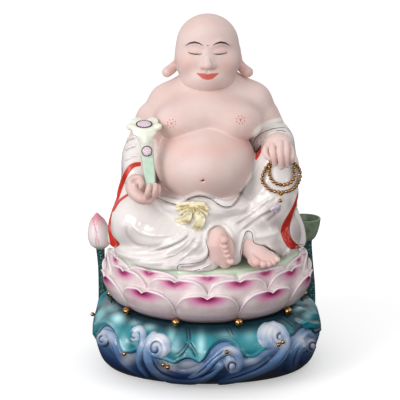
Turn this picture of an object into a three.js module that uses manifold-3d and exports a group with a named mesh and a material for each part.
// A seated laughing monk in painted porcelain, on a lotus throne over a leaf and wave base.
// Millimetres, +Z up, the figure faces -Y. The origin is the centre of the base's underside.
import * as THREE from 'three';
import { mergeVertices } from 'three/addons/utils/BufferGeometryUtils.js';
import Module from 'manifold-3d';

const wasm = await Module();
wasm.setup();

// Driving sizes
const baseHeight = 76; // wave base, from the ground to the flat that carries the throne
const baseRadius = 128; // widest part of the wave base
const baseFootInset = 42; // the ring that it stands on, inside the widest part
const baseSeatInset = 33; // the edge of the flat on top, inside the widest part
const depthShare = 0.95; // both bases are slightly oval, shallower front to back
const throneHeight = 60; // lotus throne, from its seat on the base to the pad
const throneInset = 10; // the outermost petal tips, inside the base's widest part
const throneFootInset = 4; // the throne's underside, inside the base's seat
const padInset = 20; // the edge of the green pad, inside the petal tips
const petalCount = 10; // petals in each of the three rings
const columnsPerPetal = 6;
const figureHeight = 258; // seated figure, pad to crown
const jointGap = 0.3; // clearance between pieces that touch
const giltBeadRadius = 4.6; // beads between the lowest petals
const dropBeadRadius = 2.4; // small beads scattered on the waves
const rosaryBeadRadius = 2.1;
const rosaryCordRadius = 0.9;
const rosaryBeadSpacing = 4.2;
const sceptreWidth = 36; // across the cloud-shaped head
const sceptreThickness = 9; // handle, front to back
const budHeight = 45;
const budRadius = 12.5;
const cupRadius = 18.5; // furled lotus leaf
const cupHeight = 27;
const cupWall = 2.2;
const cupDepth = 14;
const stemRadius = 6;
const stemInset = 1; // stems stand this far inside the base's widest part
const stemDepth = 32; // and start this far below its top
const budDrop = 16; // foot of the bud, below the pad
const cupRise = 20; // rim of the cup, above the pad

const baseFootRadius = baseRadius - baseFootInset;
const baseSeatRadius = baseRadius - baseSeatInset;
const throneFootRadius = baseSeatRadius - throneFootInset;
const throneRadius = baseRadius - throneInset;
const padRadius = throneRadius - padInset;
const throneBottom = baseHeight + jointGap;
const padLevel = throneBottom + throneHeight;
const figureLevel = padLevel + jointGap;

// The figure is carved at this nominal height, and its numbers are millimetres there
const carvedHeight = 258;
const figureScale = figureHeight / carvedHeight;
const figureStep = 3.2; // cells of the carving
const figureFaces = 3700;

// So is the base, and then it is stretched to its own radius and height
const carvedBaseRadius = 128;
const carvedBaseHeight = 76;
const carvedPadLevel = 136.6; // height of the pad over that base
const baseSpread = baseRadius / carvedBaseRadius;
const baseLift = baseHeight / carvedBaseHeight;
const baseStep = 3.6;
const baseFaces = 1400;
const waveReach = 14; // most that a wave stands out of the bowl

// Small vector helpers on plain arrays
const add = (a, b) => [a[0] + b[0], a[1] + b[1], a[2] + b[2]];
const minus = (a, b) => [a[0] - b[0], a[1] - b[1], a[2] - b[2]];
const times = (a, s) => [a[0] * s, a[1] * s, a[2] * s];
const dot = (a, b) => a[0] * b[0] + a[1] * b[1] + a[2] * b[2];
const cross = (a, b) => [
  a[1] * b[2] - a[2] * b[1],
  a[2] * b[0] - a[0] * b[2],
  a[0] * b[1] - a[1] * b[0],
];
const clamp = (v, low, high) => Math.min(high, Math.max(low, v));
const smooth = (v) => v * v * (3 - 2 * v);
const degrees = Math.PI / 180;

// Distance functions: each takes a point and gives about how far it is outside a form
const ellipsoid = ([cx, cy, cz], [rx, ry, rz], turn = 0) => {
  const c = Math.cos(turn);
  const s = Math.sin(turn);
  return (px, py, pz) => {
    const dx = px - cx;
    const dz = pz - cz;
    const x = (c * dx + s * dz) / rx;
    const y = (py - cy) / ry;
    const z = (c * dz - s * dx) / rz;
    const near = Math.sqrt(x * x + y * y + z * z);
    const slope = Math.sqrt((x * x) / (rx * rx) + (y * y) / (ry * ry) + (z * z) / (rz * rz));
    return near < 1e-6 ? -Math.min(rx, ry, rz) : (near * (near - 1)) / slope;
  };
};

const taper = ([ax, ay, az], [bx, by, bz], startRadius, endRadius) => {
  const lx = bx - ax;
  const ly = by - ay;
  const lz = bz - az;
  const length2 = Math.max(lx * lx + ly * ly + lz * lz, 1e-9);
  return (px, py, pz) => {
    const t = clamp(((px - ax) * lx + (py - ay) * ly + (pz - az) * lz) / length2, 0, 1);
    const x = px - ax - lx * t;
    const y = py - ay - ly * t;
    const z = pz - az - lz * t;
    return Math.sqrt(x * x + y * y + z * z) - (startRadius + (endRadius - startRadius) * t);
  };
};

const valueAt = (values, t) => {
  const f = clamp(t, 0, 1) * (values.length - 1);
  const i = Math.min(Math.floor(f), values.length - 2);
  return values[i] + (values[i + 1] - values[i]) * (f - i);
};

// A limb or fold: a tube of changing radius along a smooth curve through the points.
// Far away it answers with its distance from a ball that holds it all, which is quicker.
const farAway = 14;
const limb = (points, radii, steps = 8) => {
  const curve = new THREE.CatmullRomCurve3(points.map((p) => new THREE.Vector3(...p)));
  const at = curve.getPoints(steps).map((v) => v.toArray());
  const pieces = at
    .slice(1)
    .map((p, i) => taper(at[i], p, valueAt(radii, i / steps), valueAt(radii, (i + 1) / steps)));
  const middle = times(at.reduce(add), 1 / at.length);
  const reach = Math.max(...at.map((p) => Math.hypot(...minus(p, middle)))) + Math.max(...radii);
  return (x, y, z) => {
    const far = Math.hypot(x - middle[0], y - middle[1], z - middle[2]) - reach;
    if (far > farAway) return far;
    let d = Infinity;
    for (const form of pieces) d = Math.min(d, form(x, y, z));
    return d;
  };
};

const blended = (a, b, softness) => {
  const h = Math.max(softness - Math.abs(a - b), 0) / softness;
  return Math.min(a, b) - (h * h * softness) / 4;
};

// Adds forms one after the other, each melting into what is there over its own softness
const sculpt = ([first, ...others]) => (x, y, z) => {
  let d = first.form(x, y, z);
  for (const { form, soft, cut } of others) {
    const e = form(x, y, z);
    if (cut) d = -blended(-d, e, soft);
    else if (e - d < soft) d = blended(d, e, soft);
  }
  return d;
};

// The figure, in its own frame: z = 0 on the pad
const shoulderLeft = [-42, 8, 158];
const shoulderRight = [46, 8, 158];
const elbowLeft = [-66, 6, 106];
const elbowRight = [67, 4, 122];
const wristLeft = [-77, -46, 86];
const wristRight = [74, -46, 138];
const kneeLeft = [-70, -34, 35];
const kneeRight = [74, -38, 100];

const headParts = () => {
  const parts = [
    { form: ellipsoid([0.5, 4, 226], [31.5, 33, 32]), soft: 1 },
    { form: ellipsoid([0.5, -4, 207], [34.5, 29, 23]), soft: 14 },
    { form: ellipsoid([0.5, -26, 194], [15, 11, 9]), soft: 9 },
    { form: ellipsoid([0.5, -12, 187], [29, 22, 9]), soft: 8 },
    { form: limb([[0.5, -28, 225], [0.5, -33, 217], [0.5, -36, 211]], [3, 3.8, 4.8], 3), soft: 6 },
    { form: ellipsoid([0.5, -32, 201], [9, 4, 4]), soft: 5 },
  ];
  for (const side of [-1, 1]) {
    const x = (v) => 0.5 + side * v;
    const ear = [[x(32), 8, 222], [x(36), 10, 216], [x(36), 6, 205], [x(40), 3, 197], [x(46), 2, 193]];
    parts.push({ form: ellipsoid([x(19), -18, 209], [12, 11, 11]), soft: 8 });
    parts.push({ form: ellipsoid([x(12.5), -26, 225], [9, 5, 4]), soft: 6 });
    parts.push({ form: ellipsoid([x(5), -32.5, 210], [3.6, 4, 3.2]), soft: 4 });
    parts.push({ form: limb(ear, [3.8, 4.8, 4.4, 5.2, 5.4], 6), soft: 3 });
  }
  return parts;
};

const torsoParts = () => [
  { form: ellipsoid([2, 6, 148], [56, 44, 42]), soft: 1 },
  { form: taper([2, 8, 180], shoulderLeft, 25, 25), soft: 14 },
  { form: taper([2, 8, 180], shoulderRight, 25, 25), soft: 14 },
  { form: ellipsoid([-2, -28, 110], [53, 58, 44]), soft: 8 },
  { form: ellipsoid([-31, -31, 150], [27, 26, 19]), soft: 12 },
  { form: ellipsoid([33, -31, 150], [27, 26, 19]), soft: 12 },
  { form: taper(shoulderLeft, [-56, 8, 130], 25, 23), soft: 10 },
  { form: taper(shoulderRight, [60, 8, 132], 25, 22), soft: 10 },
  { form: ellipsoid([-4, -87, 99], [3.4, 4, 2.4]), soft: 2, cut: true },
];

const handParts = (knuckles, tips, radius, palm) => [
  { form: palm, soft: 4 },
  ...knuckles.map((knuckle, i) => ({
    form: limb([knuckle, add(times(add(knuckle, tips[i]), 0.5), [0, -2.5, 2]), tips[i]],
      [radius, radius, radius * 0.8], 3),
    soft: 1.5,
  })),
];

const robeParts = () => [
  // Seat and the cloth behind the back
  { form: ellipsoid([0, 14, 38], [84, 62, 52]), soft: 12 },
  { form: ellipsoid([0, 30, 104], [68, 36, 76]), soft: 16 },
  // Folded leg on the viewer's left
  { form: taper([-30, 0, 44], kneeLeft, 38, 33), soft: 14 },
  { form: limb([kneeLeft, [-40, -58, 26], [-8, -74, 22]], [32, 26, 19], 5), soft: 10 },
  { form: ellipsoid([-26, -60, 10], [56, 36, 12]), soft: 9 },
  // Raised leg on the viewer's right
  { form: taper([30, 4, 44], kneeRight, 36, 22), soft: 12 },
  { form: limb([kneeRight, [72, -48, 70], [52, -62, 36]], [22, 24, 18], 5), soft: 10 },
  { form: ellipsoid([72, -26, 62], [25, 38, 42]), soft: 10 },
  { form: ellipsoid([22, -60, 34], [26, 22, 22]), soft: 12 },
  // Waistband and lap
  { form: ellipsoid([-2, -46, 62], [52, 38, 14]), soft: 6 },
  // Sleeve on the viewer's left, which hangs behind the knee
  { form: limb([[-54, 9, 138], elbowLeft, [-75, -20, 86]], [25, 24, 17], 5), soft: 6 },
  { form: limb([[-70, 0, 100], [-80, 2, 62], [-88, 0, 28], [-92, 0, 12]], [22, 17, 14, 12], 6), soft: 8 },
  // Sleeve on the viewer's right
  { form: limb([[56, 8, 142], elbowRight, [77, -24, 122]], [24, 23, 17], 5), soft: 6 },
  { form: limb([[76, 4, 114], [85, 2, 78], [84, 2, 48], [94, -4, 14]], [20, 16, 13, 12], 6), soft: 8 },
];

const handsAndFeet = () => {
  const leftKnuckles = [[-74, -76, 84], [-66, -80, 80], [-59, -80, 77], [-53, -78, 76]];
  const leftTips = [[-68, -86, 76], [-62, -89, 85], [-56, -87, 86], [-50, -82, 84]];
  const rightKnuckles = [[66, -64, 131], [73, -67, 133], [80, -66, 131], [86, -61, 127]];
  const rightTips = [[69, -74, 106], [76, -75, 104], [82, -73, 108], [87, -69, 113]];
  const footRight = [[42, -58, 36], [46, -70, 20], [58, -84, 12]];
  const parts = [
    { form: taper([-74, -30, 90], wristLeft, 14, 10), soft: 2 },
    { form: taper([73, -30, 130], wristRight, 13, 10), soft: 2 },
    ...handParts(leftKnuckles, leftTips, 4.6, ellipsoid([-69, -66, 82], [13, 15, 10])),
    ...handParts(rightKnuckles, rightTips, 4.6, ellipsoid([76, -56, 132], [13, 14, 10])),
    { form: limb([[-78, -60, 90], [-75, -74, 92], [-68, -82, 88]], [5, 5, 4], 3), soft: 2 },
    { form: limb([[65, -54, 128], [61, -63, 121], [63, -69, 114]], [4.8, 4.6, 3.8], 3), soft: 2 },
    // Folded foot, its toes one above the other
    { form: ellipsoid([14, -84, 23], [16, 16, 20], -0.25), soft: 3 },
    { form: limb(footRight, [14, 13, 11], 4), soft: 3 },
    { form: ellipsoid([61, -88, 10], [17, 12, 9.5]), soft: 5 },
  ];
  for (let i = 0; i < 5; i += 1) {
    const share = i / 4;
    const foldedToe = [21 + 6 * share, -96 - 2 * Math.sin(share * Math.PI), 31 - 26 * share];
    const flatToe = [49 + 26 * share, -101 + 10 * share * share, 7];
    parts.push({ form: ellipsoid(foldedToe, [6.4 - share, 6.4 - share, 4.8 - share]), soft: 1.5 });
    parts.push({ form: ellipsoid(flatToe, [4.6 - share, 6.4 - share, 5.6 - share]), soft: 1.5 });
  }
  return parts;
};

// Where a line of sight from the eye meets a form, or else passes nearest to it. The point [x, rise] is
// measured across and up a picture plane whose own origin is just before the middle of the pad, and
// the eye's place is measured from there too. Last comes the pad's level in the form's own frame.
const eye = [-7.7, -1738.7, 517.8];
const pictureOrigin = [0, -13.9, 0.1];
const pictureUp = [0, Math.sin(15 * degrees), Math.cos(15 * degrees)];
const seenFromFront = (form, [x, rise], padThere = 0) => {
  const onPlane = add(add([x, 0, 0], times(pictureUp, rise)), pictureOrigin);
  const away = minus(onPlane, eye);
  const ray = times(away, 1 / Math.hypot(...away));
  let p = add(minus(onPlane, times(ray, 170)), [0, 0, padThere]);
  let nearest = { p, d: Infinity };
  for (let i = 0; i < 90 && nearest.d > 0.05; i += 1) {
    const d = form(...p);
    if (d < nearest.d) nearest = { p, d };
    p = add(p, times(ray, d * 0.8));
  }
  return nearest.p;
};

// Ridges of cloth, as they are seen from the front: across and up in millimetres
const frontFolds = [
  { path: [[-20, 23], [-35, 15], [-52, 12], [-68, 16], [-78, 21]], radii: [2.5, 4, 4.4, 4, 2] },
  { path: [[-15, 21], [-27, 8], [-50, 0], [-72, -3], [-98, 2]], radii: [2.5, 4, 4.4, 4, 2.4] },
  { path: [[-7, 19], [-16, 8], [-29, -3], [-55, -8], [-83, -8]], radii: [2.5, 3.8, 4, 3.8, 2.4] },
  { path: [[-5, 13], [-10, 2], [-27, -10], [-44, -14]], radii: [2.4, 3.2, 3.4, 2.4] },
  { path: [[31, 28], [49, 37], [64, 48], [74, 57]], radii: [2.4, 4, 4, 2.4] },
  { path: [[37, 22], [56, 33], [69, 42], [80, 48]], radii: [2.4, 3.8, 3.8, 2.4] },
  { path: [[51, 18], [67, 15], [78, 18]], radii: [2, 3.2, 2] },
  // Hems round the two feet
  { path: [[1, 26], [-2, 8], [-12, -4], [-28, -15], [-31, -18], [-20, -24], [2, -14]],
    radii: [2.6, 2.6] },
  { path: [[40, -2], [40, 10], [45, 18], [50, 12], [56, 4], [66, 0], [76, -9], [83, -13]],
    radii: [2.6, 2.6] },
  // Waistband
  { path: [[-54, 58], [-43, 51], [-30, 49], [-22, 54], [-8, 59], [8, 53], [26, 47], [36, 55], [44, 70]],
    radii: [2.6, 3] },
  // Turned edges of the robe on the two upper arms
  { path: [[51, 118], [61, 128], [75, 133], [85, 134]], radii: [2.8, 3.4, 2.8] },
  { path: [[-89, 120], [-80, 123], [-74, 118]], radii: [2, 3.2, 2] },
  { path: [[-90, 106], [-82, 104], [-74, 98]], radii: [2, 3.2, 2] },
];

// Folds down the back of the robe, fanned from the neck
const backFold = (form, x) => {
  const path = [0.15, 0.4, 0.65, 0.9].map((share) => {
    let p = [x * (0.45 + 0.75 * share), 150, 172 * (1 - share)];
    for (let i = 0; i < 60; i += 1) p = minus(p, [0, Math.max(form(...p), 0) * 0.8, 0]);
    return p;
  });
  return limb(path, [2.5, 4, 4.5, 3.5], 8);
};

// Ribbon tied under the belly: gathered fan, two loops and a tail
const ribbonParts = (form) => {
  const on = (point) => seenFromFront(form, point);
  const strips = [
    { path: [[-27, 48], [-18, 50], [-8, 50], [2, 46]], radii: [2.2, 3, 3, 2.4] },
    { path: [[-25, 44], [-16, 47], [-12, 40]], radii: [2, 3, 2] },
    { path: [[-4, 46], [4, 43], [6, 36], [-2, 34]], radii: [2, 2.6, 3, 2.2] },
    { path: [[-14, 42], [-20, 34], [-18, 28], [-12, 26]], radii: [2, 3, 3, 2] },
    { path: [[-12, 40], [-6, 34], [-2, 28], [-8, 20], [-15, 16]], radii: [2, 3, 3.4, 3, 2] },
    { path: [[-16, 25], [-26, 26], [-33, 22]], radii: [2.4, 2.6, 1.6] },
  ];
  return strips.map((strip) => ({
    form: limb(strip.path.map(on), strip.radii, 5),
    soft: 1.5,
  }));
};

const figureForm = () => {
  const head = sculpt(headParts());
  const torso = sculpt(torsoParts());
  const robe = sculpt(robeParts());
  const ends = sculpt(handsAndFeet());
  const body = (x, y, z) => {
    const trunk = blended(torso(x, y, z), robe(x, y, z), 2);
    return blended(trunk, Math.min(head(x, y, z), ends(x, y, z)), 2.5);
  };
  const folds = [
    ...frontFolds.map((fold) => ({
      form: limb(fold.path.map((point) => seenFromFront(body, point)), fold.radii, 10),
      soft: 5,
    })),
    ...[-62, -38, -14, 14, 38, 62].map((x) => ({ form: backFold(robe, x), soft: 7 })),
    ...ribbonParts(body),
  ];
  const dressed = sculpt([{ form: body, soft: 1 }, ...folds]);
  return (x, y, z) => Math.max(dressed(x, y, z), -z);
};

// Marching tetrahedra over a box of cells, each cell cut in six
const cellTetrahedra = [
  [0, 1, 3, 7], [0, 3, 2, 7], [0, 2, 6, 7], [0, 6, 4, 7], [0, 4, 5, 7], [0, 5, 1, 7],
];

const polygonise = (form, low, high, step) => {
  const count = low.map((v, i) => Math.ceil((high[i] - v) / step) + 1);
  const [nx, ny, nz] = count;
  const place = (n) => [
    low[0] + (n % nx) * step,
    low[1] + (Math.floor(n / nx) % ny) * step,
    low[2] + Math.floor(n / (nx * ny)) * step,
  ];
  const values = new Float64Array(nx * ny * nz);
  const smallest = step * 0.06; // keeps a surface point off the grid's own corners
  // Blocks that the surface can't reach are filled with the distance at their middle
  const block = 4;
  const reach = block * step * 1.5;
  for (let z = 0; z < nz; z += block) {
    for (let y = 0; y < ny; y += block) {
      for (let x = 0; x < nx; x += block) {
        const middle = place(x + nx * (y + ny * z)).map((v) => v + (step * (block - 1)) / 2);
        const here = form(...middle);
        for (let k = z; k < Math.min(z + block, nz); k += 1) {
          for (let j = y; j < Math.min(y + block, ny); j += 1) {
            for (let i = x; i < Math.min(x + block, nx); i += 1) {
              const n = i + nx * (j + ny * k);
              const d = Math.abs(here) > reach ? here : form(...place(n));
              values[n] = Math.abs(d) < smallest ? Math.sign(d || 1) * smallest : d;
            }
          }
        }
      }
    }
  }
  const points = [];
  const faces = [];
  const known = new Map();
  const between = (a, b) => {
    const key = a < b ? a * values.length + b : b * values.length + a;
    if (!known.has(key)) {
      const t = values[a] / (values[a] - values[b]);
      known.set(key, points.length);
      points.push(add(place(a), times(minus(place(b), place(a)), t)));
    }
    return known.get(key);
  };
  const emit = (i, j, k, outward) => {
    const normal = cross(minus(points[j], points[i]), minus(points[k], points[i]));
    faces.push(dot(normal, outward) > 0 ? [i, j, k] : [i, k, j]);
  };
  for (let z = 0; z < nz - 1; z += 1) {
    for (let y = 0; y < ny - 1; y += 1) {
      for (let x = 0; x < nx - 1; x += 1) {
        const first = x + nx * (y + ny * z);
        const corner = (c) => first + (c & 1) + ((c >> 1) & 1) * nx + ((c >> 2) & 1) * nx * ny;
        for (const cell of cellTetrahedra) {
          const ids = cell.map(corner);
          const inside = ids.filter((n) => values[n] < 0);
          const outside = ids.filter((n) => values[n] >= 0);
          if (!inside.length || !outside.length) continue;
          const middle = (list) =>
            times(list.map(place).reduce(add), 1 / list.length);
          const outward = minus(middle(outside), middle(inside));
          if (inside.length === 2) {
            const [a, b] = inside;
            const [c, d] = outside;
            const quad = [between(a, c), between(a, d), between(b, d), between(b, c)];
            emit(quad[0], quad[1], quad[2], outward);
            emit(quad[0], quad[2], quad[3], outward);
          } else {
            const lone = inside.length === 1 ? inside[0] : outside[0];
            const rest = inside.length === 1 ? outside : inside;
            emit(between(lone, rest[0]), between(lone, rest[1]), between(lone, rest[2]), outward);
          }
        }
      }
    }
  }
  return { points, faces };
};

// Edge collapse: a quadric holds the squared distance to the planes of the faces round a point,
// as the sums of xx, xy, xz, xw, yy, yz, yw, zz, zw and ww over their unit normals and offsets
const quadricOf = ([x, y, z], w, weight) =>
  [x * x, x * y, x * z, x * w, y * y, y * z, y * w, z * z, z * w, w * w].map((v) => v * weight);

const quadricError = (q, [x, y, z]) =>
  x * (q[0] * x + 2 * (q[1] * y + q[2] * z + q[3])) +
  y * (q[4] * y + 2 * (q[5] * z + q[6])) + z * (q[7] * z + 2 * q[8]) + q[9];

// The point of least error, pulled a little towards the middle of the edge so that it always exists
const bestPoint = (q, middle) => {
  const pull = 0.02 * (q[0] + q[4] + q[7]) + 1e-9;
  const rows = [
    [q[0] + pull, q[1], q[2]],
    [q[1], q[4] + pull, q[5]],
    [q[2], q[5], q[7] + pull],
  ];
  const right = [pull * middle[0] - q[3], pull * middle[1] - q[6], pull * middle[2] - q[8]];
  const determinant = (a, b, c) => dot(a, cross(b, c));
  const whole = determinant(...rows);
  return [0, 1, 2].map((axis) => {
    const swapped = rows.map((row, r) => row.map((v, c) => (c === axis ? right[r] : v)));
    return determinant(...swapped) / whole;
  });
};

const simplify = ({ points, faces }, faceLimit) => {
  const around = points.map(() => new Set());
  const live = faces.map((face) => [...face]);
  const quadrics = points.map(() => new Array(10).fill(0));
  const normalOf = (a, b, c) => cross(minus(b, a), minus(c, a));
  live.forEach((face, f) => {
    const corners = face.map((i) => points[i]);
    const normal = normalOf(...corners);
    const size = Math.hypot(...normal);
    face.forEach((i) => around[i].add(f));
    if (size < 1e-9) return;
    const unit = times(normal, 1 / size);
    const q = quadricOf(unit, -dot(unit, corners[0]), size);
    face.forEach((i) => q.forEach((v, n) => { quadrics[i][n] += v; }));
  });
  const neighbours = (i) => new Set([...around[i]].flatMap((f) => live[f]).filter((j) => j !== i));
  const flips = (i, j, p) =>
    [...around[i]].some((f) => {
      if (live[f].includes(j)) return false;
      const before = normalOf(...live[f].map((k) => points[k]));
      const after = normalOf(...live[f].map((k) => (k === i ? p : points[k])));
      return dot(before, after) < 0.3 * Math.hypot(...before) * Math.hypot(...after);
    });
  let count = live.length;
  for (let pass = 0; pass < 80 && count > faceLimit; pass += 1) {
    const edges = [];
    live.forEach((face) => {
      if (!face) return;
      face.forEach((i, n) => {
        const j = face[(n + 1) % 3];
        if (i > j) return;
        const q = quadrics[i].map((v, m) => v + quadrics[j][m]);
        const p = bestPoint(q, times(add(points[i], points[j]), 0.5));
        const length = Math.hypot(...minus(points[i], points[j]));
        edges.push({ i, j, p, q, cost: Math.max(quadricError(q, p), 0) + 0.003 * length ** 3 });
      });
    });
    edges.sort((a, b) => a.cost - b.cost);
    const touched = new Set();
    const dearest = edges[Math.floor(edges.length * 0.35)].cost;
    for (const { i, j, p, q, cost } of edges) {
      if (count <= faceLimit || cost > dearest) break;
      if (touched.has(i) || touched.has(j)) continue;
      const near = neighbours(i);
      const far = neighbours(j);
      const shared = [...near].filter((k) => far.has(k));
      if (shared.length !== 2 || flips(i, j, p) || flips(j, i, p)) continue;
      [...near, ...far].forEach((k) => touched.add(k));
      points[i] = p;
      quadrics[i] = q;
      [...around[j]].forEach((f) => {
        if (live[f].includes(i)) {
          live[f].forEach((k) => around[k].delete(f));
          live[f] = null;
          count -= 1;
        } else {
          live[f] = live[f].map((k) => (k === j ? i : k));
          around[i].add(f);
        }
      });
      around[j].clear();
    }
  }
  return { points, faces: live.filter(Boolean) };
};

// Evens out the triangles and puts each point back on the form
const slopeAt = (form, [x, y, z], h = 0.5) => [
  (form(x + h, y, z) - form(x - h, y, z)) / (2 * h),
  (form(x, y + h, z) - form(x, y - h, z)) / (2 * h),
  (form(x, y, z + h) - form(x, y, z - h)) / (2 * h),
];

const settle = ({ points, faces }, form, rounds) => {
  const around = points.map(() => new Set());
  faces.forEach((face) => face.forEach((i) => face.forEach((j) => i !== j && around[i].add(j))));
  let settled = points;
  for (let round = 0; round < rounds; round += 1) {
    settled = settled.map((p, i) => {
      if (!around[i].size) return p;
      const middle = times([...around[i]].map((j) => settled[j]).reduce(add), 1 / around[i].size);
      const q = times(add(p, middle), 0.5);
      const slope = slopeAt(form, q);
      const step = clamp(form(...q) / Math.max(dot(slope, slope), 0.3), -2, 2);
      return minus(q, times(slope, step));
    });
  }
  return { points: settled, faces };
};

// Meshes and solids
const solidFrom = ({ points, faces }) =>
  new wasm.Manifold(
    new wasm.Mesh({
      numProp: 3,
      vertProperties: new Float32Array(points.flat()),
      triVerts: new Uint32Array(faces.flat()),
    }),
  );

const pairs = (index) => {
  const faces = [];
  for (let i = 0; i < index.length; i += 3) faces.push([index[i], index[i + 1], index[i + 2]]);
  return faces;
};

const pointsOf = (attribute) => {
  const points = [];
  for (let i = 0; i < attribute.count; i += 1) {
    points.push([attribute.getX(i), attribute.getY(i), attribute.getZ(i)]);
  }
  return points;
};

const solidOf = (geometry) => {
  geometry.deleteAttribute('normal');
  geometry.deleteAttribute('uv');
  const merged = mergeVertices(geometry, 1e-4);
  return solidFrom({ points: pointsOf(merged.attributes.position), faces: pairs(merged.index.array) });
};

const geometryFrom = (solid) => {
  const mesh = solid.getMesh();
  const geometry = new THREE.BufferGeometry();
  geometry.setAttribute('position', new THREE.BufferAttribute(new Float32Array(mesh.vertProperties), 3));
  geometry.setIndex([...mesh.triVerts]);
  return geometry;
};

const joined = (solids) => wasm.Manifold.union(solids);

// The same solid with each point pushed outwards, for cutting a seat with clearance
const swollen = (solid, distance) => {
  const geometry = geometryFrom(solid);
  geometry.computeVertexNormals();
  const normals = pointsOf(geometry.attributes.normal);
  const points = pointsOf(geometry.attributes.position).map((p, i) => add(p, times(normals[i], distance)));
  return solidFrom({ points, faces: pairs(geometry.index.array) });
};

const carved = (form, low, high, step, faceLimit, rounds = 2) => {
  const fine = settle(simplify(polygonise(form, low, high, step), faceLimit), form, rounds);
  const points = fine.points.map((p) => (p[2] < 0.35 ? [p[0], p[1], 0] : p));
  return solidFrom({ points, faces: fine.faces });
};

const finish = (color, roughness, metalness = 0) =>
  new THREE.MeshStandardMaterial({ color, roughness, metalness });

const piece = (name, geometry, material) => {
  const mesh = new THREE.Mesh(geometry, material);
  mesh.name = name;
  return mesh;
};

// A closed surface from rows of points round an upright axis: rows[0] is the first, and flat caps close it
const closedRows = (rows) => {
  const count = rows[0].length;
  const points = rows.flat();
  const faces = [];
  for (let r = 0; r < rows.length - 1; r += 1) {
    for (let c = 0; c < count; c += 1) {
      const next = (c + 1) % count;
      const [a, b] = [r * count + c, r * count + next];
      const [d, e] = [a + count, b + count];
      faces.push([a, b, e], [a, e, d]);
    }
  }
  const middle = (row) => times(row.reduce(add), 1 / count);
  const bottom = points.push(middle(rows[0])) - 1;
  const top = points.push(middle(rows[rows.length - 1])) - 1;
  const last = (rows.length - 1) * count;
  for (let c = 0; c < count; c += 1) {
    const next = (c + 1) % count;
    faces.push([bottom, next, c], [top, last + c, last + next]);
  }
  return solidFrom({ points, faces });
};

// A point round an upright axis, angle 0 to the front
const onRing = (angle, radius, height, share = 1) => [
  radius * Math.sin(angle),
  -radius * Math.cos(angle) * share,
  height,
];

const bead = (place, radius, around, up) =>
  solidOf(new THREE.SphereGeometry(radius, around, up).rotateX(Math.PI / 2)).translate(place);

// Sceptre, in the figure's frame: a flat handle that widens into a cloud-shaped head
const sceptreMiddle = -67;
const sceptreForm = () => {
  const wide = sceptreWidth / 2;
  const thin = sceptreThickness / 2;
  const handlePath = [[-60, -77, 82], [-60.5, -75, 96], [-63, -68, 118], [-64, -63, 131]];
  const handle = limb(handlePath, [4.6, 5.6, 6.6, 6.6], 6);
  const slim = (x, y, z) => Math.max(handle(x, y, z), Math.abs(y + 77 - 0.28 * (z - 82)) - thin);
  return sculpt([
    { form: slim, soft: 1 },
    { form: ellipsoid([-64, -65, 129], [9, 6, 8]), soft: 3 },
    { form: taper([-65, -62, 132], [sceptreMiddle, -57, 145], 7, 11), soft: 4 },
    { form: ellipsoid([sceptreMiddle, -55, 146], [wide, 8, 7]), soft: 5 },
    { form: ellipsoid([sceptreMiddle - wide * 0.54, -50, 153], [8, 8, 6]), soft: 4 },
    { form: ellipsoid([sceptreMiddle + wide * 0.5, -50, 153], [8, 8, 6]), soft: 4 },
    { form: ellipsoid([sceptreMiddle, -60.5, 150], [9.5, 6.5, 4]), soft: 1 },
    { form: ellipsoid([-63.5, -70, 123], [6.6, 3.4, 6.6]), soft: 1 },
  ]);
};
const sceptreSolid = () => {
  const wide = sceptreWidth / 2 + 5;
  const deep = sceptreThickness / 2 + 22;
  const low = [sceptreMiddle - wide, -63 - deep, 72];
  return carved(sceptreForm(), low, [sceptreMiddle + wide, -63 + deep, 164], 2.4, 340);
};

// Prayer beads: one string in two loops over the cloth, through the hand between them
const rosaryLoops = [
  [[70, 97], [64, 84], [63, 73], [70, 64], [81, 61], [92, 66], [99, 78], [98, 90], [93, 95]],
  [[70, 92], [70, 81], [75, 73], [82, 70], [90, 73], [94, 82], [92, 91]],
];
const rosaryPendant = [[81, 60], [80.5, 56], [79.5, 51]];
const insideHand = [[87, -61, 110], [84, -61, 116], [78, -61, 117], [74, -61, 111]];
const beadRows = (points, room) => {
  const curve = new THREE.CatmullRomCurve3(points.map((p) => new THREE.Vector3(...p)), false, 'centripetal');
  const beads = Math.max(Math.round(curve.getLength() / rosaryBeadSpacing), 2);
  return curve.getSpacedPoints(beads * 2).map((at, i) => {
    const along = curve.getTangentAt(i / (beads * 2));
    if (i === 0) at.addScaledVector(along, -room);
    if (i === beads * 2) at.addScaledVector(along, room);
    const side = new THREE.Vector3(0, 1, 0).cross(along).normalize();
    const out = along.clone().cross(side);
    const radius = (i % 2 ? rosaryBeadRadius : rosaryCordRadius) + room;
    return [0, 1, 2, 3].map((corner) => {
      const turn = (corner * Math.PI) / 2 + Math.PI / 4;
      return at
        .clone()
        .addScaledVector(side, radius * Math.cos(turn))
        .addScaledVector(out, radius * Math.sin(turn))
        .toArray();
    });
  });
};
const rosaryPaths = (form) => {
  const onCloth = (point) => {
    const p = seenFromFront(form, point);
    const slope = slopeAt(form, p);
    return add(p, times(slope, (rosaryBeadRadius + 0.4) / Math.hypot(...slope)));
  };
  const [outer, inner] = rosaryLoops.map((loop) => loop.map(onCloth));
  return [[...outer, ...insideHand, ...inner], rosaryPendant.map(onCloth)];
};
const rosarySolid = (paths) => joined(paths.map((path) => closedRows(beadRows(path, 0))));
// The room round it is joined from short lengths, so that no bend folds over itself
const rosaryRoom = (paths) => {
  const lengthsOf = (rows) => rows.slice(2).map((_, i) => closedRows(rows.slice(i, i + 3)));
  return joined(paths.flatMap((path) => lengthsOf(beadRows(path, jointGap * 2.4))));
};

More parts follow.
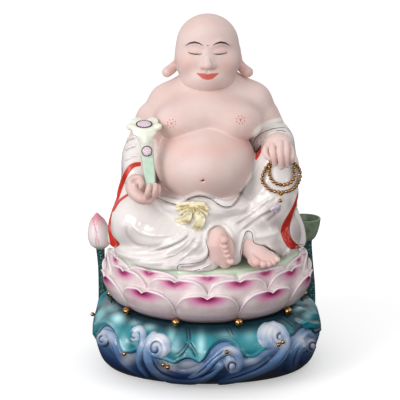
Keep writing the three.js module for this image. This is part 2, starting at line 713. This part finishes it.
const budai = (form, sceptre, beadRoom) => {
  const body = carved(form, [-118, -116, -2.2], [118, 96, 266], figureStep, figureFaces);
  const held = joined([swollen(sceptre, jointGap * 1.8), beadRoom]);
  const pieces = body.subtract(held).decompose();
  return pieces.sort((a, b) => b.volume() - a.volume())[0];
};

// Wave base: a lathed bowl, a lotus leaf draped over it and rolling waves below the leaf
const bowlFoot = baseFootRadius / baseSpread;
const bowlWide = carvedBaseRadius;
const bowlProfile = [
  [0, 0], [bowlFoot, 0], [bowlFoot + 14, 5], [bowlWide - 12, 15], [bowlWide - 3, 27],
  [bowlWide, 40], [bowlWide - 3, 54], [bowlWide - 11, 66], [bowlWide - 20, 73],
  [baseSeatRadius / baseSpread, carvedBaseHeight], [0, carvedBaseHeight],
];
const profileDistance = (profile, r, z) => {
  let nearest = Infinity;
  let inside = false;
  for (let i = 0; i < profile.length - 1; i += 1) {
    const [ax, az] = profile[i];
    const [bx, bz] = profile[i + 1];
    const [ex, ez] = [bx - ax, bz - az];
    const t = clamp(((r - ax) * ex + (z - az) * ez) / (ex * ex + ez * ez), 0, 1);
    nearest = Math.min(nearest, Math.hypot(r - ax - ex * t, z - az - ez * t));
    if (az > z !== bz > z && r < ax + ((z - az) / ez) * ex) inside = !inside;
  }
  return inside ? -nearest : nearest;
};

// Height of the leaf's edge at each angle, front and sides
const leafEdge = [
  [-180, 44], [-155, 54], [-130, 42], [-110, 56], [-90, 36], [-56, 61], [-42, 43], [-16, 42], [-8.6, 48],
  [-3.6, 44], [3, 60], [7.5, 67], [12.5, 63], [16.6, 53], [22, 45], [28.6, 49], [58, 62], [90, 38],
  [110, 54], [135, 40], [158, 54], [180, 44],
];
const leafEdgeAt = (angle) => {
  const at = leafEdge.findIndex(([a], i) => i > 0 && angle <= a);
  const [[a, low], [b, high]] = [leafEdge[at - 1], leafEdge[at]];
  return low + (high - low) * smooth((angle - a) / (b - a));
};
const leafThickness = 3.6;

const wavePaths = [
  { path: [[-68, -136], [-79, -129], [-88, -117], [-98, -101], [-106, -91], [-116, -95], [-117, -104],
    [-110, -102]], radii: [5, 7, 7.5, 7, 6.5, 6, 5, 4.5] },
  { path: [[-66, -138], [-74, -126], [-74, -114], [-68, -102], [-72, -90], [-81, -93], [-82, -102],
    [-75, -100]], radii: [5, 7, 7, 6.5, 6, 5.5, 5, 4.5] },
  { path: [[-2, -140], [-24, -146], [-43, -144], [-63, -135], [-68, -123], [-66, -109], [-56, -99],
    [-43, -99], [-40, -109], [-46, -117], [-55, -114], [-53, -108]],
    radii: [7, 9, 9, 8.5, 8, 8, 8, 8, 7.5, 6, 5, 4.5], back: true },
  { path: [[-19, -142], [-2, -135], [12, -123], [25, -111], [35, -117], [36, -129], [28, -133], [24, -125]],
    radii: [6, 7, 7, 8, 8, 7, 6, 5], back: true },
  { path: [[25, -142], [45, -136], [64, -127], [81, -114], [87, -100], [81, -89], [67, -85], [56, -93],
    [59, -104], [70, -106], [76, -99]], radii: [7, 8.5, 8.5, 8, 8, 8, 8, 8, 7.5, 6, 5], back: true },
  { path: [[25, -132], [43, -125], [61, -118], [73, -110]], radii: [4, 5, 5, 4] },
  { path: [[89, -123], [95, -110], [99, -99], [108, -99], [109, -109], [103, -109]],
    radii: [5, 6.5, 6, 5.5, 5, 4] },
];

const baseBowl = (x, y, z) => profileDistance(bowlProfile, Math.hypot(x, y / depthShare), z);
const baseForm = () => {
  const leafy = (x, y, z) => {
    const below = leafEdgeAt(Math.atan2(x, -y) / degrees) - z;
    return blended(baseBowl(x, y, z), Math.max(baseBowl(x, y, z) - leafThickness, below), 1);
  };
  const waves = wavePaths.flatMap(({ path, radii, back }) => {
    const front = path.map((point) => seenFromFront(baseBowl, point, carvedPadLevel));
    const behind = front.map(([x, y, z]) => [-x, -y, z]);
    const all = back ? [front, behind] : [front];
    return all.map((points) => ({ form: limb(points, radii, 22), soft: 2.5 }));
  });
  const whole = sculpt([{ form: leafy, soft: 1 }, ...waves]);
  return (x, y, z) => Math.max(whole(x, y, z), -z, z - carvedBaseHeight);
};
const stretched = ([x, y, z]) => [x * baseSpread, y * baseSpread, z * baseLift];

const dropBeadPlaces = [
  [-91, -116], [-128, -72], [-43, -131], [22, -114], [79, -106], [-48, -128], [84, -103],
];

// Lotus throne: three rings of petals, each with a notched tip and an undercut rim
const petalRim = (share) => {
  const u = Math.abs(share);
  if (u < 1 / 3) return 0.86 + 0.14 * smooth(u * 3);
  return 1 - ((u - 1 / 3) * 1.5) ** 2;
};
const petalRings = [
  { rim: throneRadius, junction: throneHeight * 0.17, tip: throneHeight * 0.6, shift: 0 },
  { rim: throneRadius - 6, junction: throneHeight * 0.64, tip: throneHeight * 0.83, shift: 0.5 },
  { rim: throneRadius - 13, junction: throneHeight * 0.86, tip: throneHeight * 0.925, shift: 0 },
];
const lotusThrone = () => {
  const columns = petalCount * columnsPerPetal;
  const rowsAt = (column) => {
    const [low, middle, high] = petalRings.map(({ junction, tip, shift }) => {
      const turn = (column / columnsPerPetal + shift + 0.5) % 1;
      return junction + (tip - junction) * petalRim(2 * turn - 1);
    });
    const [r1, r2, r3] = petalRings.map(({ rim }) => rim);
    const swell = (low - petalRings[0].junction) / (petalRings[0].tip - petalRings[0].junction);
    return [
      [throneFootRadius, 0],
      [throneFootRadius + 5 + 5 * swell, 2.5],
      [r1 - 18 + 13 * swell, low * 0.45],
      [r1 - 12 + 12 * swell, low],
      [r1 - 15 + 11 * swell, low + 0.8],
      [r1 - 13 + 3 * swell, Math.min(low - 0.8, middle - 2)],
      [r2, middle],
      [r2 - 3, middle + 0.6],
      [r2 - 6.5, middle - 0.8],
      [r3, high],
      [r3 - 3.4, high + 0.4],
      [padRadius, throneHeight - 2.2],
      [padRadius - 2.5, throneHeight],
    ];
  };
  const perColumn = [...Array(columns).keys()].map(rowsAt);
  const rows = perColumn[0].map((_, r) =>
    perColumn.map((profile, c) => {
      const [radius, height] = profile[r];
      return onRing((c / columns) * 2 * Math.PI, radius, throneBottom + height, depthShare);
    }),
  );
  return closedRows(rows);
};

// Gilt beads on the base's shoulder, one under each place where two lowest petals meet
const giltBeads = () =>
  [...Array(petalCount).keys()].map((i) => {
    const angle = ((i + 0.5) / petalCount) * 2 * Math.PI;
    const [x, y] = onRing(angle, throneRadius - 10, 0, depthShare);
    const above = (height) => baseBowl(x / baseSpread, y / baseSpread, height / baseLift);
    let height = baseHeight + giltBeadRadius + leafThickness;
    while (above(height) > giltBeadRadius * 0.75 + leafThickness) height -= 0.1;
    return [x, y, height];
  });

// Bud and furled leaf on their stems: rings of points round an axis that bends with its height
const standing = (profile, { foot, bend }, room = 0) => {
  const corners = [...Array(12).keys()].map((c) => (c / 12) * 2 * Math.PI);
  return closedRows(
    profile.map(([radius, height], row) => {
      const level = row === 0 ? -room : height;
      const centre = add(foot, [bend * level * level, 0, 0]);
      return corners.map((turn) => add(centre, onRing(turn, radius + room, level)));
    }),
  );
};

const stemFoot = (angle) =>
  onRing(angle * degrees, baseRadius - stemInset, baseHeight - stemDepth, depthShare);
const budStem = { foot: stemFoot(-110.5), bend: -0.0004 };
const budProfile = () => {
  const neck = padLevel - budDrop - budStem.foot[2];
  const shape = [[0.42, 0], [0.8, 0.1], [1, 0.27], [0.98, 0.45], [0.76, 0.7], [0.42, 0.88], [0.1, 1]];
  return [
    [stemRadius, 0], [stemRadius * 0.8, neck * 0.4], [stemRadius * 0.7, neck * 0.72],
    [stemRadius * 0.8, neck - 3],
    ...shape.map(([r, h]) => [budRadius * r, neck + budHeight * h]),
  ];
};

const cupStem = { foot: stemFoot(110.5), bend: -0.0009 };
const cupProfile = () => {
  const neck = padLevel + cupRise - cupStem.foot[2] - cupHeight;
  return [
    [stemRadius, 0], [stemRadius, neck * 0.35], [stemRadius * 0.8, neck * 0.7],
    [stemRadius * 0.9, neck - 2],
    [cupRadius * 0.55, neck + cupHeight * 0.2], [cupRadius * 0.82, neck + cupHeight * 0.6],
    [cupRadius, neck + cupHeight], [cupRadius - cupWall, neck + cupHeight],
    [cupRadius * 0.82 - cupWall, neck + cupHeight * 0.62 + 1],
    [cupRadius * 0.45, neck + cupHeight - cupDepth],
  ];
};

// The pieces
const form = figureForm();
const sceptre = sceptreSolid();
const rosaryPath = rosaryPaths(form);
const rosary = rosarySolid(rosaryPath);
const bud = standing(budProfile(), budStem);
const cup = standing(cupProfile(), cupStem);
const gilt = giltBeads();
const bowl = baseForm();
const drops = dropBeadPlaces.map((place) => {
  const p = seenFromFront(bowl, place, carvedPadLevel);
  return stretched(minus(p, times(slopeAt(bowl, p), bowl(...p))));
});

const beadSeats = (places, radius) =>
  joined(places.map((p) => bead(p, radius + jointGap * 1.6, 6, 4)));
const baseHalf = [carvedBaseRadius + waveReach, carvedBaseRadius * depthShare + waveReach];
const base = carved(
  bowl,
  [-baseHalf[0], -baseHalf[1], -2.2],
  [...baseHalf, carvedBaseHeight + 4],
  baseStep,
  baseFaces,
)
  .scale([baseSpread, baseSpread, baseLift])
  .subtract(beadSeats(gilt, giltBeadRadius))
  .subtract(joined(drops.map((p) => bead(p, dropBeadRadius + jointGap * 1.6, 5, 3))))
  .subtract(standing(budProfile(), budStem, jointGap * 1.2))
  .subtract(standing(cupProfile(), cupStem, jointGap * 1.2));
const throne = lotusThrone().subtract(beadSeats(gilt, giltBeadRadius));

const onPad = (solid) => {
  const geometry = geometryFrom(solid);
  geometry.scale(figureScale, figureScale, figureScale);
  return geometry.translate(0, 0, figureLevel);
};

const bisque = finish('#ead3cb', 0.6);
const gold = finish('#c79a3e', 0.3, 1);
const group = new THREE.Group();
group.add(
  piece('budai', onPad(budai(form, sceptre, rosaryRoom(rosaryPath))), bisque),
  piece('ruyi_sceptre', onPad(sceptre), finish('#b5d3bb', 0.25)),
  piece('prayer_beads', onPad(rosary), gold),
  piece('lotus_throne', geometryFrom(throne), finish('#f1e3e6', 0.2)),
  piece('wave_base', geometryFrom(base), finish('#5f9fb0', 0.2)),
  piece('lotus_bud', geometryFrom(bud), finish('#f3cfd3', 0.3)),
  piece('lotus_leaf_cup', geometryFrom(cup), finish('#b9cfb8', 0.3)),
);
gilt.forEach((place, i) => {
  const name = `gilt_bead_${String(i + 1).padStart(2, '0')}`;
  group.add(piece(name, geometryFrom(bead(place, giltBeadRadius, 6, 4)), gold));
});
drops.forEach((place, i) => {
  const name = `wave_drop_${String(i + 1).padStart(2, '0')}`;
  group.add(piece(name, geometryFrom(bead(place, dropBeadRadius, 5, 3)), gold));
});

export default group;
